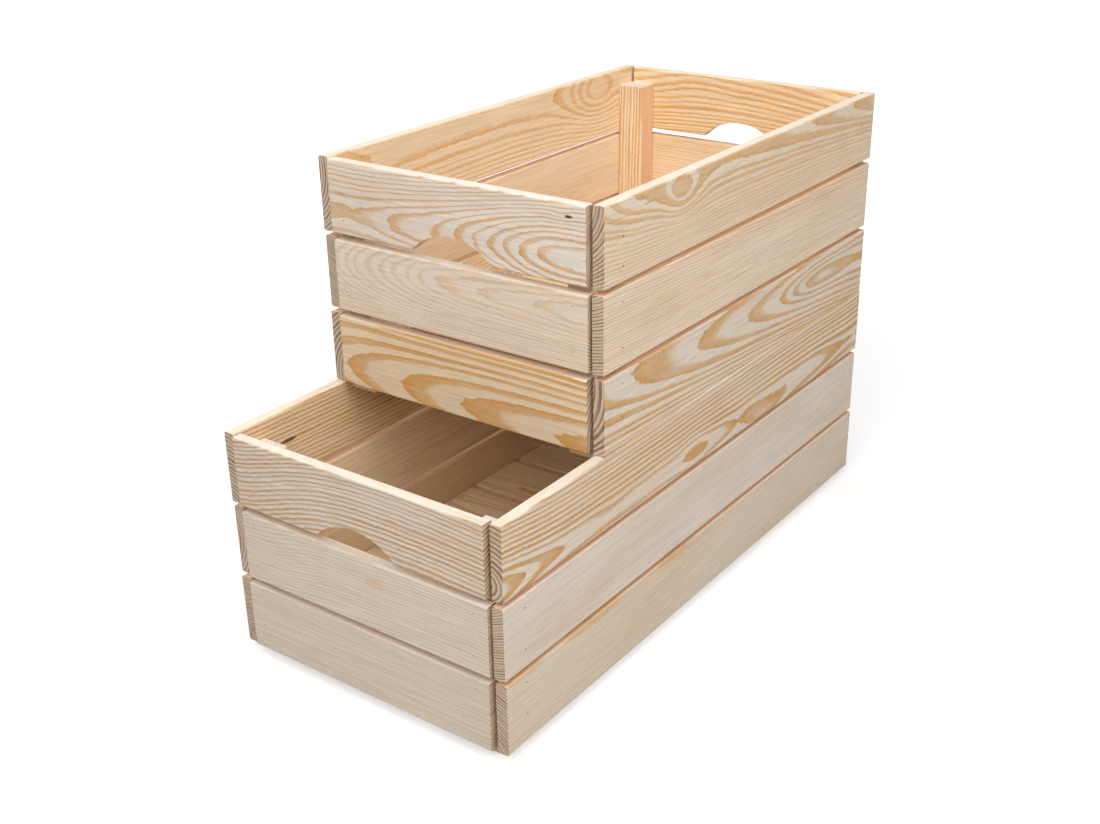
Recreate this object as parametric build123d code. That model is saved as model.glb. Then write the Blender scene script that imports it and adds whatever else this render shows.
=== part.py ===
"""Two stacked slatted storage crates in pine, the upper one shorter so that the lower one is open in front.

The frame has its origin on the ground under the middle of the lower crate. +X is to the right, +Y runs from
the open front to the rear, +Z is up. All sizes are in millimetres.
"""
import os
from dataclasses import dataclass
from itertools import product

from build123d import *

# Footprint of the two crates
FRAME_WIDTH = 300.0  # across the lower crate's posts, which is also the room between its side walls
LOWER_SIDE_LENGTH = 680.0  # length of the lower crate's side slats
UPPER_SIDE_LENGTH = 530.0  # length of the upper crate's side slats
STACKING_CLEARANCE = 0.5  # play on each side between the upper crate's feet and the boards round them

# Slats of the four walls
SLAT_THICKNESS = 12.0
SIDE_SLAT_HEIGHT = 73.0
END_SLAT_HEIGHT = 71.0  # from narrower stock, nailed level with the middle of the side slats
SIDE_SLAT_GAP = 4.5  # open slit between one side slat and the next above it
SLAT_EDGE_RADIUS = 2.0  # rounding of the long edges; the sawn ends are square
SIDE_SLAT_OVERLAP = 8.0  # how far a side slat runs past the posts and covers the end slats' thickness
CORNER_SLIT = 3.0  # open slit between an end slat's sawn end and the side slat beside it
NAILING_WANDER = (0.6, -0.8, 0.4)  # how far each level's slats are nailed off their mark along their length

# Corner posts, inside the walls
POST_WIDTH = 32.0  # along X
POST_DEPTH = 28.0  # along Y
POST_EASING = 1.2  # bevel along a post's edges and round its foot
FOOT_HEIGHT = 9.0  # how far a post stands out below the slats
FOOT_AIR = 9.0  # air that is left between a foot and the post below it in the stack

# Hand holes, an arch cut from the bottom edge of the top slat at the front and the rear
HAND_HOLE_WIDTH = 95.0
HAND_HOLE_HEIGHT = 20.0

# Floor of slats across the crate, pinned on a cleat along each side wall
CLEAT_WIDTH = 15.0
CLEAT_HEIGHT = 15.0
CLEAT_LIFT = 3.0  # how far the cleats stand above the walls' bottom edge
CLEAT_END_GAP = 1.0
LOWER_FLOOR_SLATS = 8
UPPER_FLOOR_SLATS = 6
FLOOR_SLAT_WIDTH = 73.0
FLOOR_SLAT_THICKNESS = 10.0
FLOOR_EASING = 1.0
FLOOR_SLAT_CLEARANCE = 1.0  # round a floor slat's ends and in its notches at the posts

# Nails, which are headless pins of flat wire, driven just below the surface
PIN_WIDTH = 2.0  # along the grain of the board that it is driven through
PIN_THICKNESS = 1.4
PIN_SET = 0.5  # depth of a pin's end below the surface
WALL_PIN_LENGTH = 28.0
FLOOR_PIN_LENGTH = 20.0
SIDE_PIN_INSET = 21.0  # from the post's outer end face, along the crate
PIN_SPACING = 1.5  # wood left in a post between the pins of one wall and those of the next
FLOOR_PIN_SPREAD = 24.0  # between the two pins in one end of a floor slat
# For each level, up from the side slat's bottom and down from the top of the wood that it shares with the post
PIN_HEIGHTS = ((29.0, 11.0), (18.0, 13.0), (15.0, 14.0))

LEVELS = ("bottom", "middle", "top")
TOP = len(LEVELS) - 1
WALL_HEIGHT = len(LEVELS) * SIDE_SLAT_HEIGHT + TOP * SIDE_SLAT_GAP
POST_TOP_DROP = FOOT_HEIGHT + FOOT_AIR  # from the rim down to the posts, to take the feet of a crate above
SLOT_OVERSHOOT = 1.0  # how far a cut runs out of the wood so that it opens cleanly
LEFT, RIGHT = -1, 1
FRONT, REAR = -1, 1
SIDES = {"left": LEFT, "right": RIGHT}
ENDS = {"front": FRONT, "rear": REAR}


@dataclass(frozen=True)
class Crate:
    """Where one crate's posts stand, where its lowest slats begin, and how many floor slats it has."""

    name: str
    half_width: float
    front: float
    rear: float
    base: float
    floor_slats: int

    @property
    def span(self):
        return self.rear - self.front

    @property
    def post_top(self):
        return self.base + WALL_HEIGHT - POST_TOP_DROP

    @property
    def floor_bottom(self):
        return self.base + CLEAT_LIFT + CLEAT_HEIGHT

    def slat_middle(self, level):
        return self.base + SIDE_SLAT_HEIGHT / 2 + level * (SIDE_SLAT_HEIGHT + SIDE_SLAT_GAP)

    def end_face(self, end):
        """The y of the posts' outer faces at the front or the rear."""
        return self.front if end == FRONT else self.rear


def lower_crate():
    half_span = LOWER_SIDE_LENGTH / 2 - SIDE_SLAT_OVERLAP
    return Crate("lower", FRAME_WIDTH / 2, -half_span, half_span, FOOT_HEIGHT, LOWER_FLOOR_SLATS)


def upper_crate(below):
    """It stands flush with the rear of the crate below, with its feet inside that crate's walls."""
    rear = below.rear - STACKING_CLEARANCE
    front = rear - (UPPER_SIDE_LENGTH - 2 * SIDE_SLAT_OVERLAP)
    half_width = below.half_width - STACKING_CLEARANCE
    return Crate("upper", half_width, front, rear, below.base + WALL_HEIGHT, UPPER_FLOOR_SLATS)


def pin(seat, length):
    """A pin along the normal of its seat, a plane on the board's surface that faces outwards."""
    wire = Box(PIN_WIDTH, PIN_THICKNESS, length, align=(Align.CENTER, Align.CENTER, Align.MAX))
    return seat.location * Pos(0, 0, -PIN_SET) * wire


def pin_slot(seat, length):
    """The wood that the same pin has pushed aside, open at the surface."""
    depth = SLOT_OVERSHOOT + PIN_SET + length
    cut = Box(PIN_WIDTH, PIN_THICKNESS, depth, align=(Align.CENTER, Align.CENTER, Align.MAX))
    return seat.location * Pos(0, 0, SLOT_OVERSHOOT) * cut


def wall_pin_heights(crate, level):
    """Two heights at which a slat is pinned to its posts, both within the wood that slat and post share."""
    bottom = crate.slat_middle(level) - SIDE_SLAT_HEIGHT / 2
    up, down = PIN_HEIGHTS[level]
    shared_top = min(bottom + SIDE_SLAT_HEIGHT, crate.post_top)
    return bottom + up, shared_top - down


def side_pin_seats(crate, side, end, level):
    x = side * (crate.half_width + SLAT_THICKNESS)
    y = crate.end_face(end) - end * SIDE_PIN_INSET
    heights = wall_pin_heights(crate, level)
    return [Plane((x, y, z), x_dir=(0, 1, 0), z_dir=(side, 0, 0)) for z in heights]


def end_pin_seats(crate, side, end, level):
    """These stand just past the points of the side wall's pins, so that the two never meet in a post."""
    side_pin_reach = PIN_SET + WALL_PIN_LENGTH - SLAT_THICKNESS
    x = side * (crate.half_width - side_pin_reach - PIN_SPACING)
    y = crate.end_face(end) + end * SLAT_THICKNESS
    heights = wall_pin_heights(crate, level)
    return [Plane((x, y, z), x_dir=(1, 0, 0), z_dir=(0, end, 0)) for z in heights]


def slots(seats, length):
    return [pin_slot(seat, length) for seat in seats]


def slat(length, height):
    """A planed board along X with rounded long edges and square-sawn ends, centred on the origin."""
    section = Plane.YZ * RectangleRounded(SLAT_THICKNESS, height, SLAT_EDGE_RADIUS)
    return extrude(section, length / 2, both=True)


def hand_hole():
    """The round cutter whose top makes the arch in an end slat that is centred on the origin."""
    radius = (HAND_HOLE_WIDTH**2 / 4 + HAND_HOLE_HEIGHT**2) / (2 * HAND_HOLE_HEIGHT)
    centre_z = HAND_HOLE_HEIGHT - radius - END_SLAT_HEIGHT / 2
    return Pos(0, 0, centre_z) * Rot(90, 0, 0) * Cylinder(radius, 2 * SLAT_THICKNESS)


def side_slat(crate, side, level):
    board = Rot(0, 0, 90) * slat(crate.span + 2 * SIDE_SLAT_OVERLAP, SIDE_SLAT_HEIGHT)
    x = side * (crate.half_width + SLAT_THICKNESS / 2)
    y = (crate.front + crate.rear) / 2 + side * NAILING_WANDER[level]
    board = Pos(x, y, crate.slat_middle(level)) * board
    for end in ENDS.values():
        board -= slots(side_pin_seats(crate, side, end, level), WALL_PIN_LENGTH)
    if level == 0:
        board -= slots(cleat_pin_seats(crate, side), FLOOR_PIN_LENGTH)
    return board


def end_slat(crate, end, level):
    board = slat(2 * (crate.half_width - CORNER_SLIT), END_SLAT_HEIGHT)
    if level == TOP:
        board -= hand_hole()
    x = end * NAILING_WANDER[level]
    y = crate.end_face(end) + end * SLAT_THICKNESS / 2
    board = Pos(x, y, crate.slat_middle(level)) * board
    for side in SIDES.values():
        board -= slots(end_pin_seats(crate, side, end, level), WALL_PIN_LENGTH)
    return board


def post(crate, side, end):
    bottom = crate.base - FOOT_HEIGHT
    height = crate.post_top - bottom
    stick = Box(POST_WIDTH, POST_DEPTH, height, align=(Align.CENTER, Align.CENTER, Align.MIN))
    foot_edges = stick.faces().sort_by(Axis.Z)[0].edges()
    stick = chamfer(stick.edges().filter_by(Axis.Z) + foot_edges, POST_EASING)
    x = side * (crate.half_width - POST_WIDTH / 2)
    y = crate.end_face(end) - end * POST_DEPTH / 2
    stick = Pos(x, y, bottom) * stick
    for level in range(len(LEVELS)):
        stick -= slots(side_pin_seats(crate, side, end, level), WALL_PIN_LENGTH)
        stick -= slots(end_pin_seats(crate, side, end, level), WALL_PIN_LENGTH)
    return stick


def floor_layout(crate):
    """The middle of each floor slat along Y, with an even gap between them and at both end walls."""
    gap = (crate.span - crate.floor_slats * FLOOR_SLAT_WIDTH) / (crate.floor_slats + 1)
    pitch = FLOOR_SLAT_WIDTH + gap
    first = crate.front + gap + FLOOR_SLAT_WIDTH / 2
    return [first + number * pitch for number in range(crate.floor_slats)]


def cleat_ends(crate):
    """The y of a cleat's two ends, each a small gap from the post there."""
    inset = POST_DEPTH + CLEAT_END_GAP
    return crate.front + inset, crate.rear - inset


def cleat_pin_seats(crate, side):
    """On a cleat's inner face, under every second gap of the floor, where no floor pin comes down."""
    middles = floor_layout(crate)
    x = side * (crate.half_width - CLEAT_WIDTH)
    z = crate.base + CLEAT_LIFT + CLEAT_HEIGHT / 2
    gap_middles = [(before + after) / 2 for before, after in zip(middles[::2], middles[1::2])]
    return [Plane((x, y, z), x_dir=(0, 1, 0), z_dir=(-side, 0, 0)) for y in gap_middles]


def floor_pin_seats(crate, middle, side):
    """Two pins over the cleat, about the middle of the stretch that the floor slat and the cleat share."""
    cleat_front, cleat_rear = cleat_ends(crate)
    shared_front = max(middle - FLOOR_SLAT_WIDTH / 2, cleat_front)
    shared_rear = min(middle + FLOOR_SLAT_WIDTH / 2, cleat_rear)
    x = side * (crate.half_width - CLEAT_WIDTH / 2)
    z = crate.floor_bottom + FLOOR_SLAT_THICKNESS
    steps = (-FLOOR_PIN_SPREAD / 2, FLOOR_PIN_SPREAD / 2)
    places = [(shared_front + shared_rear) / 2 + step for step in steps]
    return [Plane((x, y, z), x_dir=(1, 0, 0), z_dir=(0, 0, 1)) for y in places]


def cleat(crate, side):
    """A square bar between the posts, pinned from inside to the lowest side slat."""
    front, rear = cleat_ends(crate)
    bar = Box(CLEAT_WIDTH, rear - front, CLEAT_HEIGHT, align=(Align.CENTER, Align.MIN, Align.MIN))
    x = side * (crate.half_width - CLEAT_WIDTH / 2)
    bar = Pos(x, front, crate.base + CLEAT_LIFT) * bar
    bar -= slots(cleat_pin_seats(crate, side), FLOOR_PIN_LENGTH)
    for middle in floor_layout(crate):
        bar -= slots(floor_pin_seats(crate, middle, side), FLOOR_PIN_LENGTH)
    return bar


def floor_slat(crate, middle):
    """A slat from wall to wall on the two cleats, notched where it meets a post."""
    length = 2 * (crate.half_width - FLOOR_SLAT_CLEARANCE)
    from_bottom = (Align.CENTER, Align.CENTER, Align.MIN)
    blank = Box(length, FLOOR_SLAT_WIDTH, FLOOR_SLAT_THICKNESS, align=from_bottom)
    blank = chamfer(blank.edges().filter_by(Axis.X), FLOOR_EASING)
    blank = Pos(0, middle, crate.floor_bottom) * blank
    for side in SIDES.values():
        blank -= slots(floor_pin_seats(crate, middle, side), FLOOR_PIN_LENGTH)
        for end in ENDS.values():
            blank -= post_notch(crate, side, end)
    return blank


def post_notch(crate, side, end):
    """The room that a floor slat leaves round a post."""
    room = Box(
        POST_WIDTH + 2 * FLOOR_SLAT_CLEARANCE,
        POST_DEPTH + 2 * FLOOR_SLAT_CLEARANCE,
        2 * WALL_HEIGHT,
    )
    x = side * (crate.half_width - POST_WIDTH / 2)
    y = crate.end_face(end) - end * POST_DEPTH / 2
    return Pos(x, y, crate.base) * room


def pins(seats, length):
    """All pins of one kind in a crate, as separate solids."""
    return Compound([pin(seat, length) for seat in seats])


def crate_pins(crate):
    sides = SIDES.values()
    joints = list(product(sides, ENDS.values(), range(len(LEVELS))))
    side_seats = [seat for joint in joints for seat in side_pin_seats(crate, *joint)]
    end_seats = [seat for joint in joints for seat in end_pin_seats(crate, *joint)]
    bearings = product(floor_layout(crate), sides)
    floor_seats = [seat for bearing in bearings for seat in floor_pin_seats(crate, *bearing)]
    cleat_seats = [seat for side in sides for seat in cleat_pin_seats(crate, side)]
    return {
        f"{crate.name}_side_pins": pins(side_seats, WALL_PIN_LENGTH),
        f"{crate.name}_end_pins": pins(end_seats, WALL_PIN_LENGTH),
        f"{crate.name}_floor_pins": pins(floor_seats, FLOOR_PIN_LENGTH),
        f"{crate.name}_cleat_pins": pins(cleat_seats, FLOOR_PIN_LENGTH),
    }


def crate_pieces(crate):
    """Every piece of one crate under the name of its node."""
    pieces = {}
    for level, level_name in enumerate(LEVELS):
        for side_name, side in SIDES.items():
            pieces[f"{crate.name}_{side_name}_slat_{level_name}"] = side_slat(crate, side, level)
        for end_name, end in ENDS.items():
            pieces[f"{crate.name}_{end_name}_slat_{level_name}"] = end_slat(crate, end, level)
    for side_name, side in SIDES.items():
        pieces[f"{crate.name}_{side_name}_cleat"] = cleat(crate, side)
        for end_name, end in ENDS.items():
            pieces[f"{crate.name}_{end_name}_{side_name}_post"] = post(crate, side, end)
    for number, middle in enumerate(floor_layout(crate), start=1):
        pieces[f"{crate.name}_floor_slat_{number}"] = floor_slat(crate, middle)
    return pieces | crate_pins(crate)


def main():
    os.makedirs("parts", exist_ok=True)
    below = lower_crate()
    for crate in (below, upper_crate(below)):
        for name, piece in crate_pieces(crate).items():
            export_step(piece, f"parts/{name}.step")


main()
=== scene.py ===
"""Two stacked storage crates in untreated pine: the finish of each board and nail, and a plain studio.

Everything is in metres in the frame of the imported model: +X to the right, +Y from the open front to the
rear, +Z up. Each board also has axes of its own: along its grain, across its width and out of its face.
"""
import math
import random
from dataclasses import dataclass

import bmesh
import bpy
from bpy.props import FloatProperty, FloatVectorProperty, IntProperty, PointerProperty
from mathutils import Matrix, Vector


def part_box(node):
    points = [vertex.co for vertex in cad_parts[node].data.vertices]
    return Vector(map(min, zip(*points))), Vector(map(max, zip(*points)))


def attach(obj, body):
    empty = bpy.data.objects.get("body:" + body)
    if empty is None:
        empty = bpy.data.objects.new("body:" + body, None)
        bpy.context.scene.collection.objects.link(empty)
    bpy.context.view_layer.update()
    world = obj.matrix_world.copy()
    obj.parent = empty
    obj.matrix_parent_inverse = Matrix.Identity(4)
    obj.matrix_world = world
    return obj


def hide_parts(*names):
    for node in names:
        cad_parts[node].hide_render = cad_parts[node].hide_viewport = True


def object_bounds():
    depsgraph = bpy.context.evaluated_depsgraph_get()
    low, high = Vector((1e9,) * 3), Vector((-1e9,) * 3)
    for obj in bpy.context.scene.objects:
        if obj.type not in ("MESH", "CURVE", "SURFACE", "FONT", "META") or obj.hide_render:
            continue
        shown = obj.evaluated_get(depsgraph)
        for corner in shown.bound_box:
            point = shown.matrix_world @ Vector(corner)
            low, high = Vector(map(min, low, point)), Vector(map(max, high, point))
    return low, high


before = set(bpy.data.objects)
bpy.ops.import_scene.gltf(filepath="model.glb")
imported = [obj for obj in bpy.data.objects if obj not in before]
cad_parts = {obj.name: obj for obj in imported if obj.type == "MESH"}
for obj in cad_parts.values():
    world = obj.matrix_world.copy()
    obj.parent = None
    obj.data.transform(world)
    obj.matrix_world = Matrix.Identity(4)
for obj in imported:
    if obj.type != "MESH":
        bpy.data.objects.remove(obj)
cad_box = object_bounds()

bl_info = {
    "name": "Stacked Pine Crates",
    "version": (1, 0, 0),
    "blender": (4, 5, 0),
    "location": "View3D > Sidebar > Crates",
    "description": "Dresses two stacked slatted crates in pine and sets them in a plain studio",
    "category": "Object",
}

MM = 0.001


def srgb(red, green, blue):
    """A screen colour, given as three numbers up to 255, as scene linear values by the sRGB curve."""
    shares = (red / 255, green / 255, blue / 255)
    return tuple(s / 12.92 if s <= 0.04045 else ((s + 0.055) / 1.055) ** 2.4 for s in shares)


@dataclass(frozen=True)
class Swell:
    """A place where the growth rings bulge outwards, or draw inwards where its rise is negative. In mm."""

    along: float
    across: float
    length: float
    width: float
    rise: float


@dataclass(frozen=True)
class Knot:
    """A branch that runs through the board from face to face. Places and sizes in mm."""

    along: float
    across: float
    size: float
    stretch: float = 1.6
    depth: float = 1.0
    pale: bool = False  # a branch that only grazes the face shows as summer wood


@dataclass(frozen=True)
class Figure:
    """How one board was cut from its tree.

    The pith is the tree's middle, in mm across and out of the board at its middle. Climb is how far the
    pith drifts per length of board, and bow how that drift bends, per metre. Ring and wander are in mm.
    Cream is how yellow its spring wood is, warmth how golden its summer wood, and tone how bright both are.
    Tone is partly the board's own and partly painted light: the lower crate's boards are set darker, the
    lowest most, for painted shade, and boards seen from inside brighter and creamier, for painted bounce
    light. Fade is the share of contrast that it gains towards its upper edge and loses towards the lower
    one. Bleach is how far its sawn ends have paled.
    """

    pith: tuple = (0.0, -45.0)
    climb: tuple = (0.0, 0.03)
    bow: tuple = (0.0, 0.0)
    ring: float = 3.0
    phase: float = 0.0
    latewood: float = 0.36
    contrast: float = 1.0
    wander: float = 0.5
    cream: float = 0.4
    warmth: float = 0.9
    tone: float = 1.0
    fade: float = 0.0
    bleach: float = 0.0
    swells: tuple = ()
    knots: tuple = ()


# Each tone below is partly the board's own and partly painted light: painted shade darkens the lower
# crate's boards, the lowest most, and painted bounce light brightens the boards seen from inside.
FIGURES = {
    "upper_front_slat_top": Figure(
        pith=(-13, -42.4), climb=(0.0, 0.11), bow=(0, 0.46), ring=2.5, phase=0.8, latewood=0.34,
        contrast=0.95, wander=0.45, cream=0.15, tone=1.01,
        swells=(Swell(-60, -12, 30, 25, -1.2), Swell(175, -15, 55, 50, 14), Swell(122, 24, 10, 5, 1.8)),
        knots=(Knot(129, 24, 1.2, 2.8),),
    ),
    "upper_front_slat_middle": Figure(
        pith=(18, -20.4), climb=(0.0, 0.079), bow=(0, -0.45), ring=2.6, phase=0.4, contrast=0.45,
        wander=0.8, cream=0.45, swells=(Swell(150, 18, 45, 60, -4), Swell(-30, 25, 25, 14, -1.5)),
    ),
    "upper_front_slat_bottom": Figure(
        pith=(-21, -47), climb=(-0.045, 0.055), bow=(0, -0.1), ring=4.9, phase=0.2, latewood=0.46,
        contrast=1.15, wander=0.4, cream=0.95, tone=1.03, warmth=1.05,
        swells=(Swell(-160, 45, 100, 30, -6),),
    ),
    "lower_front_slat_top": Figure(
        pith=(-60, -24), climb=(0.02, 0.0), bow=(-0.3, 0), ring=4.1, latewood=0.42, contrast=1.15,
        wander=0.8, cream=0.25, warmth=0.6, tone=0.91, swells=(Swell(-155, 0, 85, 300, 22),),
    ),
    "lower_front_slat_middle": Figure(
        pith=(-60, -20), climb=(0.05, 0.02), bow=(-0.3, 0), ring=3.4, contrast=0.5, tone=0.91, cream=0.3,
        swells=(Swell(-110, 6, 45, 22, 7), Swell(20, 14, 30, 12, 2.5)),
        knots=(Knot(20, 14, 4.0, 2.6, 0.35, pale=True),),
    ),
    "lower_front_slat_bottom": Figure(
        pith=(-70, -20), climb=(0.0, 0.02), ring=3.0, contrast=0.4, wander=0.9, tone=0.88, cream=0.35,
    ),
    "upper_right_slat_top": Figure(
        pith=(34, -44), climb=(-0.01, 0.012), bow=(0, 0.07), ring=3.4, phase=0.89, latewood=0.48,
        contrast=0.75, fade=0.2, cream=0.6, warmth=1.0, tone=1.02,
        swells=(Swell(-140, 10, 34, 25, -7.2), Swell(-290, 20, 60, 60, 9), Swell(0, -80, 400, 50, 30)),
        knots=(Knot(-200, 24, 0.5, 8, 0.4), Knot(-206, 31, 0.5, 6, 0.3), Knot(-150, 34, 0.5, 20, 0.4)),
    ),
    "upper_right_slat_middle": Figure(
        pith=(70, -22), climb=(-0.05, 0.0), ring=2.9, contrast=0.66, tone=1.03, cream=0.55,
    ),
    "upper_right_slat_bottom": Figure(
        pith=(17, -64), climb=(-0.04, 0.06), ring=6.0, phase=0.25, latewood=0.42, contrast=1.1,
        wander=0.6, warmth=1.0, tone=0.96,
        swells=(Swell(150, 12, 80, 17, -11.5), Swell(0, -62, 400, 32, 34), Swell(150, 62, 200, 28, 12)),
        knots=(Knot(-135, 13, 0.5, 16, 0.3), Knot(-116, 8, 0.5, 14, 0.3)),
    ),
    "lower_right_slat_top": Figure(
        pith=(-21, -10.3), climb=(0.01, -0.0087), bow=(0.02, -0.035), ring=4.8, phase=0.967,
        latewood=0.47, contrast=1.3, tone=0.96,
        swells=(Swell(-380, -20, 85, 120, -14.8), Swell(-180, -18, 30, 10, 1.2),
                Swell(-30, -20, 26, 25, -3), Swell(52, -21, 24, 18, 2.2), Swell(120, -36, 60, 10, -5),
                Swell(118, -20, 45, 9, 1.0), Swell(300, -18, 50, 60, 1.6)),
    ),
    "lower_right_slat_middle": Figure(
        pith=(75, -20), climb=(-0.02, 0.02), ring=2.6, contrast=0.2, tone=0.955, cream=0.25,
    ),
    "lower_right_slat_bottom": Figure(
        pith=(-70, -25), climb=(-0.03, 0.02), ring=3.4, contrast=0.32, tone=0.93, cream=0.5,
        knots=(Knot(-208, 34, 5.0, 8, 0.5, pale=True), Knot(-69, 34, 4.0, 6, 0.5, pale=True),
               Knot(-312, 35, 3.0, 8, 0.4, pale=True)),
    ),
    "upper_left_slat_top": Figure(
        pith=(25, 54), climb=(0.0, 0.0), bow=(0, -0.15), ring=3.4, phase=0.77, latewood=0.34,
        contrast=0.85, cream=1.0, tone=1.1, warmth=1.1,
        swells=(Swell(-180, 25, 45, 60, -9), Swell(235, 32, 110, 40, 6)),
    ),
    "upper_rear_slat_top": Figure(
        pith=(60, 30), climb=(0.02, 0.02), bow=(-0.6, 0), ring=5.4, latewood=0.4, wander=0.9, cream=1.0,
        tone=1.08, warmth=1.1,
        swells=(Swell(0, -62, 400, 30, 24), Swell(60, 25, 40, 20, 4)),
    ),
    "upper_rear_left_post": Figure(
        pith=(34, -26), climb=(0.02, 0.01), ring=4.2, latewood=0.42, contrast=1.2, wander=0.8, cream=0.7,
        bleach=0.9, tone=1.04, warmth=1.1,
    ),
    "lower_left_slat_top": Figure(
        pith=(-70, 20), climb=(0.02, 0.0), ring=4.2, latewood=0.38, contrast=1.45, wander=0.8, fade=0.2,
        cream=1.0, tone=0.98, knots=(Knot(273, 4, 1.8, 5.0, 0.9),),
    ),
}

WALLS = ("front", "rear", "left", "right")

# Each kind's axes: along its grain, across its width and out of its face.
AXES = {
    "front": ((1, 0, 0), (0, 0, 1), (0, -1, 0)),
    "rear": ((-1, 0, 0), (0, 0, 1), (0, 1, 0)),
    "right": ((0, 1, 0), (0, 0, 1), (1, 0, 0)),
    "left": ((0, -1, 0), (0, 0, 1), (-1, 0, 0)),
    "cleat": ((0, 1, 0), (0, 0, 1), (1, 0, 0)),
    "post": ((0, 0, 1), (1, 0, 0), (0, 1, 0)),
    "floor": ((1, 0, 0), (0, 1, 0), (0, 0, 1)),
}


def kind_of(name):
    """Which set of axes a board has: its wall's or its floor's for a slat, or its own kind's."""
    words = name.split("_")
    if words[-1] in ("post", "cleat"):
        return words[-1]
    return words[1]


INNER_BOARDS = ("_left_slat", "_rear_slat", "_floor_slat", "_post")  # of which the inside is in view
# Painted bounce light: boards whose inside is in view are set brighter by this tone, and creamier in
# chance_figure, for the warm light thrown about inside the crates.
INNER_BOUNCE_TONE = 1.06
POST_BLEACH = 0.8
FLAT_SAWN = 0.55  # share of boards that have arches on their face, and not straight lines


def chance_figure(name):
    """A figure for a board that hides its own, drawn from its name so that each run gives the same one."""
    draw = random.Random(name)
    inner = any(kind in name for kind in INNER_BOARDS)
    flat_sawn = draw.random() < FLAT_SAWN
    across = draw.uniform(-25, 25) if flat_sawn else draw.choice((-1, 1)) * draw.uniform(45, 80)
    return Figure(
        pith=(across, draw.choice((-1, 1)) * draw.uniform(22, 50)),
        climb=(draw.uniform(-0.04, 0.04), draw.uniform(-0.08, 0.08)),
        bow=(draw.uniform(-0.1, 0.1), draw.uniform(-0.1, 0.1)),
        ring=draw.uniform(2.4, 4.2),
        phase=draw.random(),
        latewood=draw.uniform(0.32, 0.44),
        contrast=draw.uniform(0.35, 0.9),
        # Painted bounce light: boards seen from inside get creamier spring wood and a brighter tone.
        cream=draw.uniform(0.8, 1.1) if inner else draw.uniform(0.3, 0.6),
        warmth=draw.uniform(0.9, 1.1),
        tone=INNER_BOUNCE_TONE if inner else 1.0,
        bleach=POST_BLEACH if name.endswith("_post") else 0.0,
    )


class CratePine(bpy.types.PropertyGroup):
    """Colours and surface of the planed, untreated pine, with the painted highlight and the painted gap
    shade on its edges.
    """

    early_cool: FloatVectorProperty(
        name="Cool earlywood", description="Spring wood of the greyest boards", subtype="COLOR",
        default=srgb(226, 216, 207), min=0, max=1)
    early_warm: FloatVectorProperty(
        name="Warm earlywood", description="Spring wood of the yellowest boards", subtype="COLOR",
        default=srgb(230, 208, 176), min=0, max=1)
    late_cool: FloatVectorProperty(
        name="Cool latewood", description="Summer wood of the greyest boards", subtype="COLOR",
        default=srgb(192, 158, 124), min=0, max=1)
    late_warm: FloatVectorProperty(
        name="Warm latewood", description="Summer wood of the yellowest boards", subtype="COLOR",
        default=srgb(211, 161, 98), min=0, max=1)
    # Painted highlight: the pale tint on the up-facing edges of the rims and front boards, as if lit from
    # above. The posts' sawn ends also pale towards it.
    pale_highlight: FloatVectorProperty(
        name="Painted edge highlight", description="Tint of the rims and of the front boards' upper edges",
        subtype="COLOR", default=srgb(230, 219, 204), min=0, max=1)
    # Painted gap shade: a warm orange tint on every down-facing edge and on the upper edges in the gaps,
    # for the shade and warm bounce light between the boards.
    gap_shade: FloatVectorProperty(
        name="Painted gap shade", description="Tint of the edges that lie in the gaps between boards",
        subtype="COLOR", default=srgb(224, 164, 104), min=0, max=1)
    end_early: FloatVectorProperty(
        name="End grain", description="Spring wood on the sawn ends", subtype="COLOR",
        default=srgb(206, 184, 160), min=0, max=1)
    end_late: FloatVectorProperty(
        name="End grain rings", description="Summer wood on the sawn ends", subtype="COLOR",
        default=srgb(126, 88, 60), min=0, max=1)
    knot: FloatVectorProperty(
        name="Knot", description="Heart of a knot", subtype="COLOR", default=srgb(92, 62, 40),
        min=0, max=1)
    relief: FloatProperty(
        name="Relief", description="Depth of the fibres and saw marks", default=0.25 * MM, min=0,
        unit="LENGTH")


class CrateBoards(bpy.types.PropertyGroup):
    """Sizes of what is done to every board's edges."""

    easing: FloatProperty(
        name="Edge easing", description="Width of the easing along sawn and planed edges",
        default=0.4 * MM, min=0, unit="LENGTH")
    segments: IntProperty(
        name="Easing segments", description="Steps across an eased edge", default=2, min=1)


class CrateNails(bpy.types.PropertyGroup):
    """Finish of the pins of flat wire."""

    dull: FloatVectorProperty(
        name="Dull wire", description="Colour of the pins that stay open to view", subtype="COLOR",
        default=srgb(62, 50, 40), min=0, max=1)
    dusted: FloatVectorProperty(
        name="Dusted wire", description="Colour of the pins in the end slats, full of wood dust",
        subtype="COLOR", default=srgb(206, 184, 156), min=0, max=1)


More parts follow.
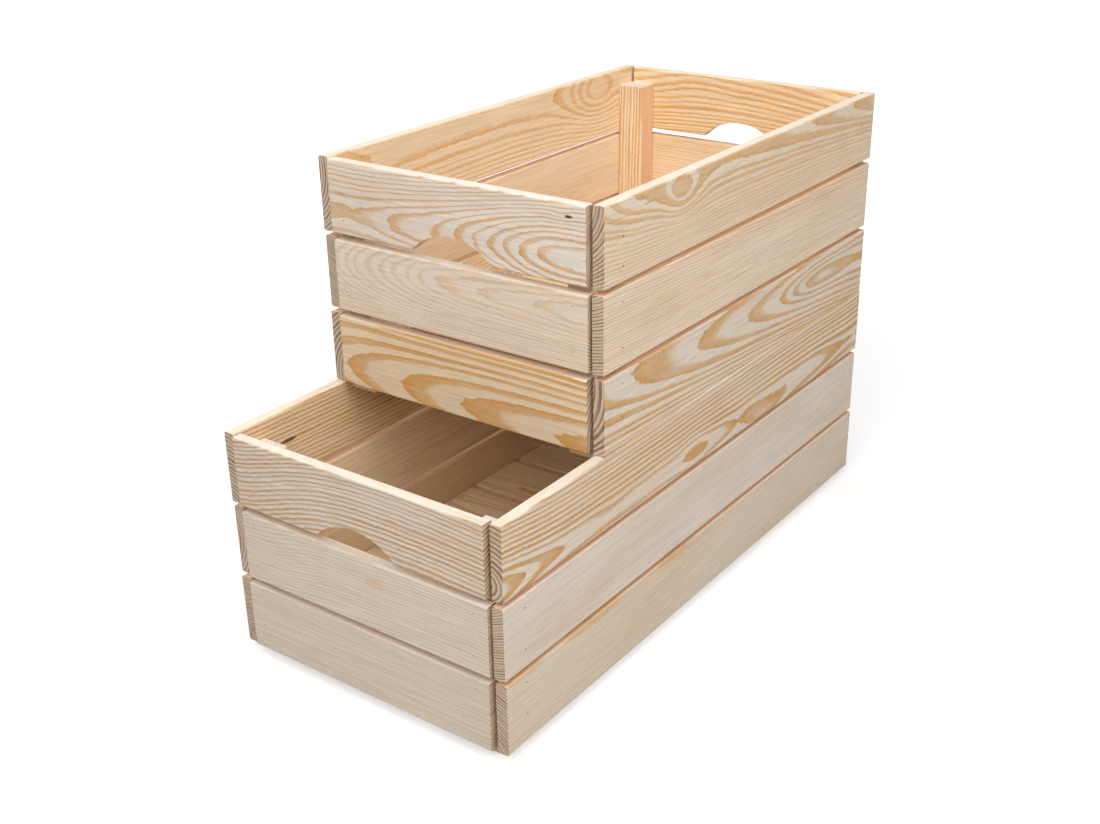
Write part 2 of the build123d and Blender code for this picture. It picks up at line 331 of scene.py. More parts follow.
class CrateStage(bpy.types.PropertyGroup):
    """The studio: its floor, lamps and camera."""

    floor_colour: FloatVectorProperty(
        name="Floor", description="Colour of the pale floor", subtype="COLOR",
        default=(0.6, 0.6, 0.6), min=0, max=1)
    floor_lift: FloatProperty(
        name="Floor lift", description="Light that the floor adds for the camera alone, by the crates",
        default=0.5, min=0)
    far_lift: FloatProperty(
        name="Far lift", description="The same, where the lamps no longer reach", default=1.0, min=0)
    floor_size: FloatProperty(
        name="Floor size", description="Side of the floor", default=30.0, unit="LENGTH")
    ambient: FloatProperty(
        name="Ambient", description="Strength of the even light all round", default=0.05, min=0)
    key_power: FloatProperty(
        name="Key lamp", description="Power of the large lamp overhead", default=19.0, unit="POWER")
    key_size: FloatProperty(
        name="Key size", description="Side of the large lamp", default=1.6, unit="LENGTH")
    key_place: FloatVectorProperty(
        name="Key place", description="Where the large lamp hangs", default=(0.0, -0.2, 2.3),
        subtype="TRANSLATION")
    front_power: FloatProperty(
        name="Front lamp", description="Power of the lamp before the crates", default=41.0,
        unit="POWER")
    front_place: FloatVectorProperty(
        name="Front place", description="Where the front lamp stands", default=(0.5, -2.0, 1.9),
        subtype="TRANSLATION")
    side_power: FloatProperty(
        name="Side lamp", description="Power of the lamp on the right", default=38.0, unit="POWER")
    side_place: FloatVectorProperty(
        name="Side place", description="Where the side lamp stands", default=(2.1, -0.5, 1.8),
        subtype="TRANSLATION")
    left_power: FloatProperty(
        name="Left lamp", description="Power of the low lamp on the left, which shines in at the gaps",
        default=30.0, unit="POWER")
    left_place: FloatVectorProperty(
        name="Left place", description="Where the left lamp stands", default=(-2.2, 0.3, 0.9),
        subtype="TRANSLATION")
    fill_size: FloatProperty(
        name="Fill size", description="Side of the front, side and left lamps", default=1.6,
        unit="LENGTH")
    eye: FloatVectorProperty(
        name="Eye", description="Where the camera stands", default=(0.7706, -1.0967, 0.7805),
        subtype="TRANSLATION")
    azimuth: FloatProperty(
        name="Azimuth", description="Turn of the camera from straight ahead",
        default=math.radians(36.37), subtype="ANGLE")
    elevation: FloatProperty(
        name="Elevation", description="How far the camera looks down", default=math.radians(24.51),
        subtype="ANGLE")
    roll: FloatProperty(
        name="Roll", description="Lean of the camera", default=math.radians(1.015), subtype="ANGLE")
    lens: FloatProperty(name="Lens", description="Focal length in millimetres", default=45.31, min=1)


NODE_STEP = 180  # between one node and the next in the editor
FACTOR, UNDER, OVER, MIXED = 0, 6, 7, 2  # a Mix node's sockets for colours


class Builder:
    """Adds nodes to one node tree, in a row, and links what feeds them."""

    def __init__(self, tree):
        self.tree = tree

    def node(self, kind, feeds=None, **settings):
        node = self.tree.nodes.new(kind)
        node.location = (NODE_STEP * len(self.tree.nodes), 0)
        for name, value in settings.items():
            setattr(node, name, value)
        for socket, value in (feeds or {}).items():
            self.feed(node.inputs[socket], value)
        return node

    def feed(self, socket, value):
        if isinstance(value, bpy.types.NodeSocket):
            self.tree.links.new(value, socket)
        else:
            socket.default_value = value

    def math(self, operation, *values):
        node = self.node("ShaderNodeMath", operation=operation)
        for socket, value in zip(node.inputs, values):
            self.feed(socket, value)
        return node.outputs[0]

    def scaled(self, share, low, high):
        """The value that stands as far from low to high as the share stands from 0 to 1."""
        return self.math("MULTIPLY_ADD", share, high - low, low)

    def vector(self, operation, *values, output="Vector"):
        node = self.node("ShaderNodeVectorMath", operation=operation)
        for socket, value in zip(node.inputs, values):
            self.feed(socket, value)
        return node.outputs[output]

    def noise(self, point, stretch, detail=2.0, roughness=0.5):
        """A soft noise between 0 and 1, whose features are about one over the stretch long, in metres."""
        place = self.vector("MULTIPLY", point, stretch)
        feeds = {"Vector": place, "Scale": 1.0, "Detail": detail, "Roughness": roughness}
        return self.node("ShaderNodeTexNoise", feeds).outputs["Fac"]

    def ramp(self, value, low, high, start=0.0, end=1.0):
        """Start where the value is low or less, end where it is high or more, and smooth between them."""
        feeds = {"Value": value, "From Min": low, "From Max": high, "To Min": start, "To Max": end}
        return self.node("ShaderNodeMapRange", feeds, interpolation_type="SMOOTHSTEP").outputs["Result"]

    def blend(self, factor, under, over):
        mix = self.node("ShaderNodeMix", data_type="RGBA")
        self.feed(mix.inputs[FACTOR], factor)
        self.feed(mix.inputs[UNDER], under)
        self.feed(mix.inputs[OVER], over)
        return mix.outputs[MIXED]

    def group(self, name, feeds):
        return self.node("ShaderNodeGroup", feeds, node_tree=bpy.data.node_groups[name]).outputs


SOCKET_KINDS = {"value": "NodeSocketFloat", "vector": "NodeSocketVector", "colour": "NodeSocketColor"}


def new_group(name, inputs, outputs):
    """A shader node group with named sockets: its builder, the sockets inside and its closing node."""
    tree = bpy.data.node_groups.new(name, "ShaderNodeTree")
    for socket, kind in inputs.items():
        tree.interface.new_socket(name=socket, in_out="INPUT", socket_type=SOCKET_KINDS[kind])
    for socket, kind in outputs.items():
        tree.interface.new_socket(name=socket, in_out="OUTPUT", socket_type=SOCKET_KINDS[kind])
    build = Builder(tree)
    source = tree.nodes.new("NodeGroupInput").outputs
    closing = tree.nodes.new("NodeGroupOutput")
    return build, source, closing


def grain_swell_group():
    """The rise of the rings round one place, a smooth hump."""
    build, source, closing = new_group(
        "Grain swell",
        {"Point": "vector", "Centre": "vector", "Reach": "vector", "Rise": "value"},
        {"Rise": "value"})
    away = build.vector("SUBTRACT", source["Point"], source["Centre"])
    shares = build.vector("DIVIDE", away, source["Reach"])
    square = build.vector("DOT_PRODUCT", shares, shares, output="Value")
    fade = build.math("EXPONENT", build.math("MULTIPLY", square, -1.0))
    build.feed(closing.inputs["Rise"], build.math("MULTIPLY", fade, source["Rise"]))


ACROSS_GRAIN = (0, 1, 1)

# Every stretch is per metre, along the grain, across the board and out of it.
SWELL_STRETCH = (7, 24, 24)
SWELL_WANDER = 2.5  # how far a slow swell moves a ring, in the board's own wander
RIPPLE_STRETCH = (95, 160, 160)
RIPPLE_WANDER = 1.3  # and how far a short ripple does
RING_SHIFT = 0.25  # how far a ring's border may lie off its even place, in rings
SHIFT_PACE = 0.6  # how quickly that changes from ring to ring
SEED_RINGS = 10.0  # how many rings a seed of one sets a board's shifts apart
LATEWOOD_SPREAD = (0.75, 1.25)  # a year's share of summer wood, in the board's own
SUMMER_LEAD = 0.14  # the share of a ring in which it darkens before its summer wood begins
SUMMER_SETTLE = 0.08  # and after
SUMMER_DEPTH = 0.75  # how dark it then is
LATE_SUMMER = 0.75  # the place in a ring from which it darkens on
WINTER = 0.97  # the place from which it turns back to spring wood
YEARLY_DEPTH = (0.85, 1.1)  # how dark one year's summer wood is
PATCH_STRETCH = (9, 50, 50)
PATCH_RAMP = (0.3, 0.6)
PATCH_DEPTH = 0.72  # how dark summer wood is where it is faint


def ring_radius(build, source, seeded):
    """How far a point lies from the pith, which drifts and bends along the board, with the rings' waves."""
    along = build.node("ShaderNodeSeparateXYZ", {"Vector": source["Point"]}).outputs["X"]
    drift = build.vector("MULTIPLY", source["Climb"], along)
    bend = build.vector("MULTIPLY", source["Bow"], build.math("MULTIPLY", along, along))
    pith = build.vector("ADD", source["Pith"], build.vector("ADD", drift, bend))
    away = build.vector("MULTIPLY", build.vector("SUBTRACT", source["Point"], pith), ACROSS_GRAIN)
    radius = build.vector("LENGTH", away, output="Value")
    swell = build.scaled(build.noise(seeded, SWELL_STRETCH), -SWELL_WANDER, SWELL_WANDER)
    ripple = build.noise(seeded, RIPPLE_STRETCH, detail=3.0, roughness=0.6)
    waves = build.math("ADD", swell, build.scaled(ripple, -RIPPLE_WANDER, RIPPLE_WANDER))
    radius = build.math("ADD", radius, build.math("MULTIPLY", waves, source["Wander"]))
    return build.math("ADD", radius, source["Rise"])


def ring_count(build, source, radius):
    """How many rings lie between the pith and a point, some of them wider than others."""
    count = build.math("ADD", build.math("DIVIDE", radius, source["Ring"]), source["Phase"])
    place = build.math("ADD", count, build.math("MULTIPLY", source["Seed"], SEED_RINGS))
    feeds = {"W": place, "Scale": SHIFT_PACE}
    uneven = build.node("ShaderNodeTexNoise", feeds, noise_dimensions="1D").outputs["Fac"]
    return build.math("ADD", count, build.scaled(uneven, -RING_SHIFT, RING_SHIFT))


def summer_wood(build, source, seeded, count):
    """How dark a ring has grown: it darkens through the summer and turns pale at once after the winter."""
    year = build.math("FLOOR", count)
    season = build.math("FRACT", count)
    chance = build.node("ShaderNodeTexWhiteNoise", {"W": year}, noise_dimensions="1D").outputs["Value"]
    share = build.math("MULTIPLY", source["Latewood"], build.scaled(chance, *LATEWOOD_SPREAD))
    start = build.math("SUBTRACT", 1.0, share)
    lead = build.math("SUBTRACT", start, SUMMER_LEAD)
    growing = build.ramp(season, lead, build.math("ADD", start, SUMMER_SETTLE), 0.0, SUMMER_DEPTH)
    growing = build.math("ADD", growing, build.ramp(season, LATE_SUMMER, WINTER, 0.0, 1.0 - SUMMER_DEPTH))
    grown = build.math("MULTIPLY", growing, build.ramp(season, WINTER, 1.0, 1.0, 0.0))
    patchy = build.ramp(build.noise(seeded, PATCH_STRETCH), *PATCH_RAMP, PATCH_DEPTH, 1.0)
    depth = build.math("MULTIPLY", build.scaled(chance, *YEARLY_DEPTH), patchy)
    return build.math("MULTIPLY", grown, depth)


def growth_rings_group():
    """Summer wood of each year's ring, round a pith that drifts and bends along the board."""
    build, source, closing = new_group(
        "Growth rings",
        {"Point": "vector", "Pith": "vector", "Climb": "vector", "Bow": "vector", "Ring": "value",
         "Phase": "value", "Latewood": "value", "Wander": "value", "Rise": "value", "Seed": "value"},
        {"Late": "value"})
    seeded = build.vector("ADD", source["Point"], source["Seed"])
    count = ring_count(build, source, ring_radius(build, source, seeded))
    build.feed(closing.inputs["Late"], summer_wood(build, source, seeded, count))


FIBRE_STRETCH = (45, 2400, 2400)
STREAK_STRETCH = (14, 520, 520)
CANAL_STRETCH = (130, 2200, 2200)
CANAL_RAMP = (0.68, 0.76)


def wood_fibre_group():
    """Fibres, broad streaks and resin canals, all drawn out along the grain."""
    build, source, closing = new_group(
        "Wood fibre",
        {"Point": "vector", "Seed": "value"},
        {"Fibre": "value", "Streak": "value", "Canals": "value"})
    seeded = build.vector("ADD", source["Point"], source["Seed"])
    build.feed(closing.inputs["Fibre"], build.noise(seeded, FIBRE_STRETCH, detail=3.0, roughness=0.6))
    build.feed(closing.inputs["Streak"], build.noise(seeded, STREAK_STRETCH, detail=3.0, roughness=0.65))
    dashes = build.noise(seeded, CANAL_STRETCH, detail=0.0)
    build.feed(closing.inputs["Canals"], build.ramp(dashes, *CANAL_RAMP))


CELL_STRETCH = (600, 1500, 1500)
SAW_STRETCH = (20, 60, 1300)
SAW_SLANT = math.radians(12)


def sawn_end_group():
    """The surface of a sawn end: cells torn by the blade, and its marks."""
    build, source, closing = new_group(
        "Sawn end", {"Point": "vector", "Seed": "value"}, {"Cells": "value", "Marks": "value"})
    seeded = build.vector("ADD", source["Point"], source["Seed"])
    build.feed(closing.inputs["Cells"], build.noise(seeded, CELL_STRETCH, detail=3.0, roughness=0.7))
    feeds = {"Vector": seeded, "Rotation": (SAW_SLANT, 0, 0)}
    slanted = build.node("ShaderNodeMapping", feeds, vector_type="POINT").outputs["Vector"]
    build.feed(closing.inputs["Marks"], build.noise(slanted, SAW_STRETCH, detail=1.0))


KNOT_STRETCH = (700, 700, 700)
KNOT_WOBBLE = 0.5  # how far a knot's outline strays, in its own reach, as are the places below
HEART_RAMP = (1.0, 1.25)
BARK_BEGINS = (0.75, 1.1)
BARK_ENDS = (1.15, 1.6)


def knot_group():
    """A branch through the board: its heart, and the dark bark line round it."""
    build, source, closing = new_group(
        "Knot",
        {"Point": "vector", "Centre": "vector", "Reach": "vector", "Seed": "value"},
        {"Heart": "value", "Rim": "value"})
    seeded = build.vector("ADD", source["Point"], source["Seed"])
    rough = build.math("MULTIPLY", build.noise(seeded, KNOT_STRETCH), KNOT_WOBBLE)
    away = build.vector("SUBTRACT", source["Point"], source["Centre"])
    flat = build.vector("MULTIPLY", build.vector("DIVIDE", away, source["Reach"]), (1, 1, 0))
    share = build.math("ADD", build.vector("LENGTH", flat, output="Value"), rough)
    build.feed(closing.inputs["Heart"], build.ramp(share, *HEART_RAMP, 1.0, 0.0))
    inner = build.ramp(share, *BARK_BEGINS)
    outer = build.ramp(share, *BARK_ENDS, 1.0, 0.0)
    build.feed(closing.inputs["Rim"], build.math("MULTIPLY", inner, outer))


STAIN_STRETCH = (3, 14, 14)
STAIN_RAMP = (0.42, 0.7)
STAIN_DEPTH = 0.2  # how far spring wood takes the colour of summer wood where it is stained
EDGE_LIGHT_SHARE = 0.6  # how far an edge takes its painted light: painted highlight above, painted gap shade below
STREAK_SHADE = (0.72, 1.28)  # what a surface's colour is multiplied by
FIBRE_SHADE = (0.85, 1.15)
CELL_SHADE = (0.75, 1.25)
SAW_SHADE = (0.9, 1.1)
CANAL_DARKNESS = (0.08, 0.33)  # in spring wood and in summer wood
FACE_ROUGHNESS = (0.5, 0.7)
LATE_POLISH = 0.1  # how much smoother summer wood is
END_ROUGHNESS = 0.85
FIBRE_RISE = 0.35  # heights are shares of the pine's relief
LATE_RISE = 0.12
CANAL_DROP = 0.1
CELL_RISE = 0.8
SAW_RISE = 0.6


def face_colour(build, source, late, fibre):
    """Planed wood: its rings and stains, the painted highlight and painted gap shade on its edges, streaks,
    fibres and canals.
    """
    seeded = build.vector("ADD", source["Point"], source["Seed"])
    stain = build.noise(seeded, STAIN_STRETCH, detail=3.0)
    face = build.blend(late, source["Early colour"], source["Late colour"])
    face = build.blend(build.ramp(stain, *STAIN_RAMP, 0.0, STAIN_DEPTH), face, source["Late colour"])
    # Painted light on the edges: painted highlight and painted gap shade.
    face = build.blend(build.math("MULTIPLY", source["Edge"], EDGE_LIGHT_SHARE), face, source["Painted edge light"])
    streaks = build.scaled(fibre["Streak"], *STREAK_SHADE)
    shade = build.math("MULTIPLY", streaks, build.scaled(fibre["Fibre"], *FIBRE_SHADE))
    canals = build.math("MULTIPLY", fibre["Canals"], build.scaled(late, *CANAL_DARKNESS))
    shade = build.math("MULTIPLY", shade, build.math("SUBTRACT", 1.0, canals))
    return build.vector("MULTIPLY", face, shade)


def end_colour(build, source, sawn):
    """A sawn end: its rings, with torn cells and the blade's marks."""
    ends = build.blend(source["Late"], source["End early"], source["End late"])
    speckle = build.scaled(sawn["Cells"], *CELL_SHADE)
    shade = build.math("MULTIPLY", speckle, build.scaled(sawn["Marks"], *SAW_SHADE))
    return build.vector("MULTIPLY", ends, shade)


def surface_roughness(build, source, late, fibre):
    gloss = build.scaled(fibre["Fibre"], *FACE_ROUGHNESS)
    gloss = build.math("SUBTRACT", gloss, build.math("MULTIPLY", late, LATE_POLISH))
    return build.math("MAXIMUM", gloss, build.math("MULTIPLY", source["End"], END_ROUGHNESS))


def surface_height(build, source, late, fibre, sawn):
    """Raised grain on the faces, and torn cells and saw marks on the ends."""
    grain = build.math("MULTIPLY", fibre["Fibre"], FIBRE_RISE)
    grain = build.math("ADD", grain, build.math("MULTIPLY", late, LATE_RISE))
    grain = build.math("SUBTRACT", grain, build.math("MULTIPLY", fibre["Canals"], CANAL_DROP))
    grain = build.math("MULTIPLY", grain, build.math("SUBTRACT", 1.0, source["End"]))
    torn = build.math("MULTIPLY", sawn["Cells"], CELL_RISE)
    torn = build.math("ADD", torn, build.math("MULTIPLY", sawn["Marks"], SAW_RISE))
    return build.math("ADD", grain, build.math("MULTIPLY", torn, source["End"]))


def pine_surface_group():
    """Colour, roughness and height of pine where the rings and the sawn ends are known."""
    build, source, closing = new_group(
        "Pine surface",
        {"Point": "vector", "Seed": "value", "Late": "value", "Contrast": "value", "End": "value",
         "Edge": "value", "Early colour": "colour", "Late colour": "colour", "Painted edge light": "colour",
         "End early": "colour", "End late": "colour"},
        {"Colour": "colour", "Roughness": "value", "Height": "value"})
    fibre = build.group("Wood fibre", {"Point": source["Point"], "Seed": source["Seed"]})
    sawn = build.group("Sawn end", {"Point": source["Point"], "Seed": source["Seed"]})
    late = build.math("MULTIPLY", source["Late"], source["Contrast"])
    face = face_colour(build, source, late, fibre)
    build.feed(closing.inputs["Colour"], build.blend(source["End"], face, end_colour(build, source, sawn)))
    build.feed(closing.inputs["Roughness"], surface_roughness(build, source, late, fibre))
    build.feed(closing.inputs["Height"], surface_height(build, source, late, fibre, sawn))


def make_groups():
    for make in (grain_swell_group, growth_rings_group, wood_fibre_group, sawn_end_group, knot_group,
                 pine_surface_group):
        make()


def opaque(colour):
    return (*colour, 1)


def between(first, second, share, tone=1.0):
    """The colour that lies the share from the first to the second, as bright as the tone says."""
    return opaque(tone * (a + (b - a) * share) for a, b in zip(first, second))


def new_material(name):
    """A new material, with its builder and its shader."""
    material = bpy.data.materials.new(name)
    material.use_nodes = True
    material.node_tree.nodes.clear()
    build = Builder(material.node_tree)
    shader = build.node("ShaderNodeBsdfPrincipled")
    build.node("ShaderNodeOutputMaterial", {"Surface": shader.outputs["BSDF"]})
    return material, build, shader


# How squarely a surface faces one of the board's axes where its mask begins and where it is full.
END_TURN = (0.55, 0.9)
EDGE_TURN = (0.75, 0.97)
UPPER_TURN = (-0.2, 0.2)


def board_point(build, name):
    """The point on the board in its own axes, from its middle, and masks for its sawn ends, for its edges
    and for the upper one of these, which tells where a lower edge's painted gap shade ends and an upper
    edge's painted light begins."""
    low, high = (Vector(corner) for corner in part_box(name))
    axes = Matrix(AXES[kind_of(name)]).transposed()
    place = build.node("ShaderNodeTexCoord").outputs
    feeds = {"Vector": place["Object"], "Location": (low + high) / 2, "Rotation": axes.to_euler()}
    point = build.node("ShaderNodeMapping", feeds, vector_type="TEXTURE").outputs["Vector"]
    along, across = (
        build.vector("DOT_PRODUCT", place["Normal"], axis, output="Value") for axis in axes.col[:2])
    end = build.ramp(build.math("ABSOLUTE", along), *END_TURN)
    edge = build.ramp(build.math("ABSOLUTE", across), *EDGE_TURN)
    return point, end, edge, build.ramp(across, *UPPER_TURN)


GAP_HIGHLIGHT_SHARE = 0.15  # how far the painted gap shade on an upper edge in a gap is lifted towards the painted highlight of a rim


def upper_edge_light(pine, name):
    """The painted light on a board's upper edge: a pale painted highlight on the rims and the front boards,
    and painted gap shade, a little lifted, on the others.
    """
    if name.endswith("_top") or "_front_" in name:
        return opaque(pine.pale_highlight)
    return between(pine.gap_shade, pine.pale_highlight, GAP_HIGHLIGHT_SHARE)


THROUGH = 1.0  # metres: a swell and a knot go right through a board


def ring_rise(build, point, swells):
    """How far a board's swells lift its rings at a point."""
    rise = 0.0
    for swell in swells:
        feeds = {
            "Point": point,
            "Centre": (swell.along * MM, swell.across * MM, 0),
            "Reach": (swell.length * MM, swell.width * MM, THROUGH),
            "Rise": swell.rise * MM,
        }
        rise = build.math("ADD", build.group("Grain swell", feeds)["Rise"], rise)
    return rise


def board_rings(build, point, figure, seed):
    """The summer wood of a board's rings."""
    return build.group("Growth rings", {
        "Point": point,
        "Pith": (0, figure.pith[0] * MM, figure.pith[1] * MM),
        "Climb": (0, *figure.climb),
        "Bow": (0, *figure.bow),
        "Ring": figure.ring * MM,
        "Phase": figure.phase,
        "Latewood": figure.latewood,
        "Wander": figure.wander * MM,
        "Rise": ring_rise(build, point, figure.swells),
        "Seed": seed,
    })["Late"]


EDGE_CONTRAST = 0.35  # the share of a board's contrast that its planed edges keep
HALF_HEIGHT = 36.5 * MM  # of a wall slat, where its fade is full


def board_contrast(build, point, edge, figure):
    """The contrast of a board's rings, which may fade over its width and does at its edges."""
    across = build.node("ShaderNodeSeparateXYZ", {"Vector": point}).outputs["Y"]
    slope = figure.fade * figure.contrast / HALF_HEIGHT
    contrast = build.math("MULTIPLY_ADD", across, slope, figure.contrast)
    return build.math("MULTIPLY", contrast, build.ramp(edge, 0.0, 1.0, 1.0, EDGE_CONTRAST))


def knotted(build, colour, point, knots, seed):
    """The colour with a board's knots in it."""
    pine = bpy.context.scene.crate_pine
    for knot in knots:
        branch = build.group("Knot", {
            "Point": point,
            "Centre": (knot.along * MM, knot.across * MM, 0),
            "Reach": (knot.size * knot.stretch * MM, knot.size * MM, THROUGH),
            "Seed": seed,
        })
        dark = build.math("MULTIPLY", build.math("MAXIMUM", branch["Heart"], branch["Rim"]), knot.depth)
        colour = build.blend(dark, colour, opaque(pine.late_warm if knot.pale else pine.knot))
    return colour


WOOD_SHINE = 0.3


def pine_material(name, figure, seed):
    """The pine of one board, with its own rings, knots and warmth."""
    pine = bpy.context.scene.crate_pine
    material, build, shader = new_material(name + "_pine")
    point, end, edge, upper = board_point(build, name)
    surface = build.group("Pine surface", {
        "Point": point,
        "Seed": seed,
        "Late": board_rings(build, point, figure, seed),
        "Contrast": board_contrast(build, point, edge, figure),
        "End": end,
        "Edge": edge,
        "Early colour": between(pine.early_cool, pine.early_warm, figure.cream, figure.tone),
        "Late colour": between(pine.late_cool, pine.late_warm, figure.warmth, figure.tone),
        # Painted light on the edges: painted gap shade below, and above it a painted highlight on rims and
        # front boards and lifted gap shade elsewhere.
        "Painted edge light": build.blend(upper, opaque(pine.gap_shade), upper_edge_light(pine, name)),
        "End early": between(pine.end_early, pine.pale_highlight, figure.bleach),
        "End late": between(pine.end_late, pine.pale_highlight, figure.bleach),
    })
    feeds = {"Strength": 1.0, "Distance": pine.relief, "Height": surface["Height"]}
    bump = build.node("ShaderNodeBump", feeds)
    build.feed(shader.inputs["Base Color"], knotted(build, surface["Colour"], point, figure.knots, seed))
    build.feed(shader.inputs["Roughness"], surface["Roughness"])
    build.feed(shader.inputs["Normal"], bump.outputs["Normal"])
    shader.inputs["Specular IOR Level"].default_value = WOOD_SHINE
    return material


WIRE_STRETCH = (900, 900, 900)
WIRE_PATCH = 0.5  # how much darker the darkest patches are
WIRE_RAMP = (0.3, 0.7)
WIRE_ROUGHNESS = (0.5, 0.75)
WIRE_METAL = 0.25  # the rest is oxide and dust


def wire_material(name, colour):
    """Dull drawn wire, darker in patches."""
    material, build, shader = new_material(name)
    place = build.node("ShaderNodeTexCoord").outputs["Object"]
    patches = build.noise(place, WIRE_STRETCH, detail=3.0)
    dark = between(colour, (0, 0, 0), WIRE_PATCH)
    build.feed(shader.inputs["Base Color"], build.blend(patches, dark, opaque(colour)))
    build.feed(shader.inputs["Roughness"], build.ramp(patches, *WIRE_RAMP, *WIRE_ROUGHNESS))
    shader.inputs["Metallic"].default_value = WIRE_METAL
    return material


WELD = 1e-6
FLAT = math.radians(0.5)
SHARP = math.radians(30)
SLOT_WALL = 45 * MM * MM  # no wall of a pin's slot is larger, and no face of a board is smaller


def is_crisp(edge):
    """True for a sharp edge of the board itself, and not of a slot in it."""
    if len(edge.link_faces) != 2 or edge.calc_face_angle() < SHARP:
        return False
    return min(face.calc_area() for face in edge.link_faces) > SLOT_WALL


def eased_copy(name):
    """A copy of a board's solid with its crisp edges eased and the pins' slots left as they are."""
    boards = bpy.context.scene.crate_boards
    mesh = bpy.data.meshes.new(name + "_board")
    work = bmesh.new()
    work.from_mesh(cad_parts[name].data)
    bmesh.ops.remove_doubles(work, verts=work.verts, dist=WELD)
    bmesh.ops.dissolve_limit(work, angle_limit=FLAT, verts=work.verts, edges=work.edges)
    crisp = [edge for edge in work.edges if is_crisp(edge)]
    bmesh.ops.bevel(
        work, geom=crisp, offset=boards.easing, offset_type="OFFSET", segments=boards.segments,
        profile=0.5, affect="EDGES", clamp_overlap=True, material=-1)
    bmesh.ops.recalc_face_normals(work, faces=work.faces)
    for face in work.faces:
        face.smooth = True
    work.to_mesh(mesh)
    work.free()
    mesh.set_sharp_from_angle(angle=SHARP)
    return mesh


def body_of(name):
    """The body that a board belongs to, by the first word of its name."""
    return name.split("_")[0] + "_crate"


SEED_STEP = 1.37  # metres of noise between one board and the next


def add_board(name):
    """Stands for one CAD board, in its own pine."""
    mesh = eased_copy(name)
    board = bpy.data.objects.new(name + "_board", mesh)
    bpy.context.scene.collection.objects.link(board)
    seed = SEED_STEP * (1 + sorted(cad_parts).index(name))
    figure = FIGURES.get(name) or chance_figure(name)
    mesh.materials.append(pine_material(name, figure, seed))
    normals = board.modifiers.new("Even shading", "WEIGHTED_NORMAL")
    normals.keep_sharp = True
    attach(board, body_of(name))
    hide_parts(name)


def names_with(part):
    """The CAD nodes with this in their names. It raises an error where there is none."""
    found = [name for name in sorted(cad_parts) if part in name]
    if not found:
        raise RuntimeError(f"the frame has no node for {part}")
    return found


class CRATE_OT_slats(bpy.types.Operator):
    """Dress the slats of the four walls of both crates"""

    bl_idname = "crate.slats"
    bl_label = "Wall Slats"

    def execute(self, context):
        for wall in WALLS:
            for name in names_with(f"_{wall}_slat_"):
                add_board(name)
        return {"FINISHED"}


class CRATE_OT_posts(bpy.types.Operator):
    """Dress the corner posts and the cleats that carry the floors"""

    bl_idname = "crate.posts"
    bl_label = "Posts and Cleats"

    def execute(self, context):
        for name in names_with("_post") + names_with("_cleat"):
            if not name.endswith("_pins"):
                add_board(name)
        return {"FINISHED"}


class CRATE_OT_floors(bpy.types.Operator):
    """Dress the slats of both floors"""

    bl_idname = "crate.floors"
    bl_label = "Floor Slats"

    def execute(self, context):
        for name in names_with("_floor_slat_"):
            add_board(name)
        return {"FINISHED"}


class CRATE_OT_nails(bpy.types.Operator):
    """Finish the pins that hold the boards"""

    bl_idname = "crate.nails"
    bl_label = "Nails"

    def execute(self, context):
        nails = context.scene.crate_nails
        dull = wire_material("dull_wire", nails.dull)
        dusted = wire_material("dusted_wire", nails.dusted)
        for name in names_with("_pins"):
            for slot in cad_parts[name].material_slots:
                slot.material = dusted if name.endswith("_end_pins") else dull
        return {"FINISHED"}


FLOOR_ROUGHNESS = 0.9
FLOOR_NEAR = 0.5  # from here the floor's own light grows, out to where it is full
FLOOR_FAR = 2.0


def add_floor(stage):
    """A wide pale floor that keeps the crates' shadow and looks white beyond it."""
    mesh = bpy.data.meshes.new("studio_floor")
    work = bmesh.new()
    bmesh.ops.create_grid(work, x_segments=1, y_segments=1, size=stage.floor_size / 2)
    work.to_mesh(mesh)
    work.free()
    floor = bpy.data.objects.new("studio_floor", mesh)
    bpy.context.scene.collection.objects.link(floor)
    material, build, shader = new_material("studio_floor")
    shader.inputs["Base Color"].default_value = opaque(stage.floor_colour)
    shader.inputs["Roughness"].default_value = FLOOR_ROUGHNESS
    shader.inputs["Specular IOR Level"].default_value = 0.0
    shader.inputs["Emission Color"].default_value = (1, 1, 1, 1)
    seen = build.node("ShaderNodeLightPath").outputs["Is Camera Ray"]
    place = build.node("ShaderNodeTexCoord").outputs["Object"]
    away = build.vector("LENGTH", place, output="Value")
    lift = build.ramp(away, FLOOR_NEAR, FLOOR_FAR, stage.floor_lift, stage.far_lift)
    build.feed(shader.inputs["Emission Strength"], build.math("MULTIPLY", seen, lift))
    mesh.materials.append(material)


def add_world(stage):
    """Even light all round, with plain white where the camera looks past the floor."""
    world = bpy.data.worlds.new("studio")
    world.use_nodes = True
    world.node_tree.nodes.clear()
    build = Builder(world.node_tree)
    path = build.node("ShaderNodeLightPath").outputs
    mirrored = build.math("MAXIMUM", path["Is Glossy Ray"], path["Is Transmission Ray"])
    seen = build.math("MAXIMUM", path["Is Camera Ray"], mirrored)
    strength = build.ramp(seen, 0.0, 1.0, stage.ambient, 1.0)
    sky = build.node("ShaderNodeBackground", {"Color": (1, 1, 1, 1), "Strength": strength})
    build.node("ShaderNodeOutputWorld", {"Surface": sky.outputs["Background"]})
    bpy.context.scene.world = world


def add_lamp(name, place, power, size):
    """A square soft lamp that points at the middle of the crates."""
    middle = (Vector(cad_box[0]) + Vector(cad_box[1])) / 2
    lamp = bpy.data.lights.new(name, "AREA")
    lamp.shape = "SQUARE"
    lamp.size = size
    lamp.energy = power
    holder = bpy.data.objects.new(name, lamp)
    holder.location = place
    holder.rotation_euler = (middle - Vector(place)).to_track_quat("-Z", "Y").to_euler()
    bpy.context.scene.collection.objects.link(holder)


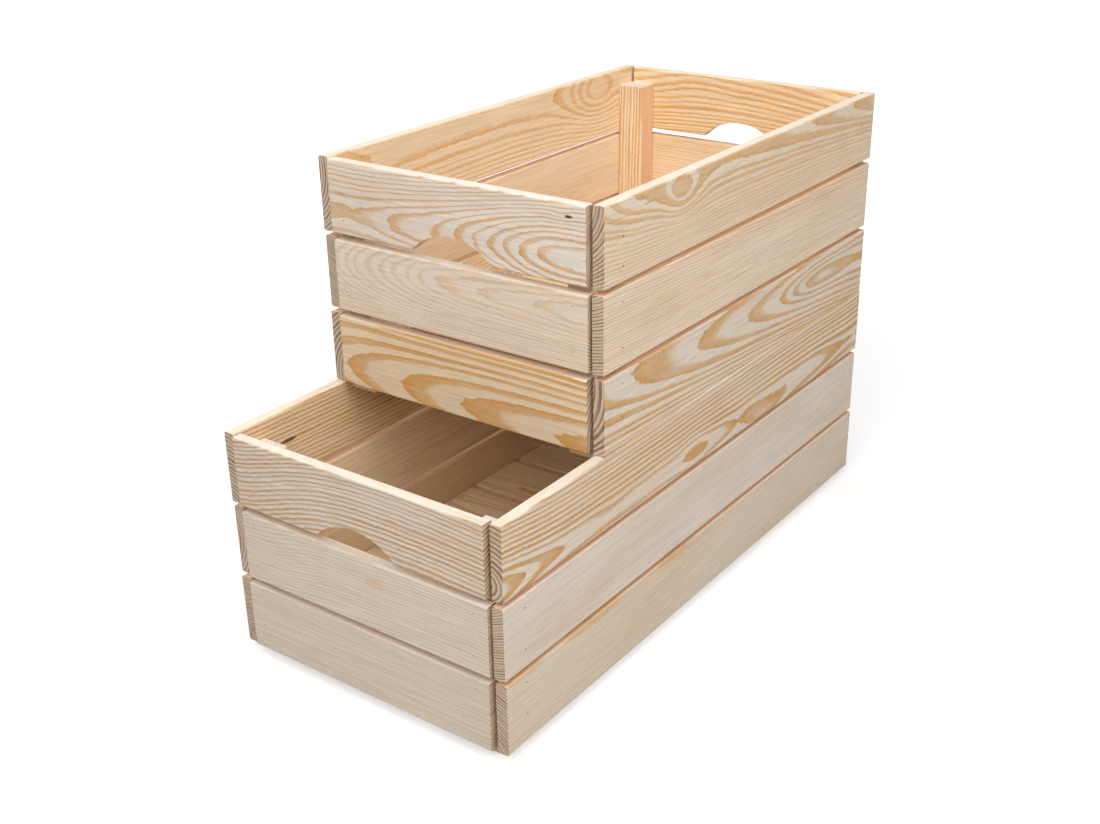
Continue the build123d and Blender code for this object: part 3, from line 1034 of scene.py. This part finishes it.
def add_camera(stage):
    """A camera at the photograph's angle: turned left, looking down, with a slight lean."""
    level = Vector((math.cos(stage.azimuth), math.sin(stage.azimuth), 0))
    ahead = Vector((-level.y, level.x, 0))
    look = ahead * math.cos(stage.elevation) - Vector((0, 0, math.sin(stage.elevation)))
    axes = Matrix((level, level.cross(look), -look)).transposed()
    data = bpy.data.cameras.new("photo_camera")
    data.lens = stage.lens
    camera = bpy.data.objects.new("photo_camera", data)
    camera.location = stage.eye
    camera.rotation_euler = (axes @ Matrix.Rotation(-stage.roll, 3, "Z")).to_euler()
    bpy.context.scene.collection.objects.link(camera)
    bpy.context.scene.camera = camera


class CRATE_OT_stage(bpy.types.Operator):
    """Set up the floor, the lamps and the camera"""

    bl_idname = "crate.stage"
    bl_label = "Stage"

    def execute(self, context):
        stage = context.scene.crate_stage
        add_floor(stage)
        add_world(stage)
        add_lamp("key_lamp", stage.key_place, stage.key_power, stage.key_size)
        add_lamp("front_lamp", stage.front_place, stage.front_power, stage.fill_size)
        add_lamp("side_lamp", stage.side_place, stage.side_power, stage.fill_size)
        add_lamp("left_lamp", stage.left_place, stage.left_power, stage.fill_size)
        add_camera(stage)
        context.scene.view_settings.view_transform = "Standard"
        return {"FINISHED"}


OPERATORS = (CRATE_OT_slats, CRATE_OT_posts, CRATE_OT_floors, CRATE_OT_nails, CRATE_OT_stage)
SETTINGS = {
    "crate_pine": CratePine,
    "crate_boards": CrateBoards,
    "crate_nails": CrateNails,
    "crate_stage": CrateStage,
}


class CRATE_PT_panel(bpy.types.Panel):
    """Everything that can be set about the crates, and the steps that make them"""

    bl_idname = "CRATE_PT_panel"
    bl_label = "Pine Crates"
    bl_space_type = "VIEW_3D"
    bl_region_type = "UI"
    bl_category = "Crates"

    def draw(self, context):
        for name, settings in SETTINGS.items():
            box = self.layout.box()
            for prop in settings.__annotations__:
                box.prop(getattr(context.scene, name), prop)
        for operator in OPERATORS:
            self.layout.operator(operator.bl_idname)


CLASSES = (*SETTINGS.values(), *OPERATORS, CRATE_PT_panel)


def register():
    for cls in CLASSES:
        bpy.utils.register_class(cls)
    for name, settings in SETTINGS.items():
        setattr(bpy.types.Scene, name, PointerProperty(type=settings))


def unregister():
    for name in SETTINGS:
        delattr(bpy.types.Scene, name)
    for cls in reversed(CLASSES):
        bpy.utils.unregister_class(cls)


def main():
    register()
    make_groups()
    bpy.ops.crate.slats()
    bpy.ops.crate.posts()
    bpy.ops.crate.floors()
    bpy.ops.crate.nails()
    bpy.ops.crate.stage()


if __name__ == "__main__":
    main()
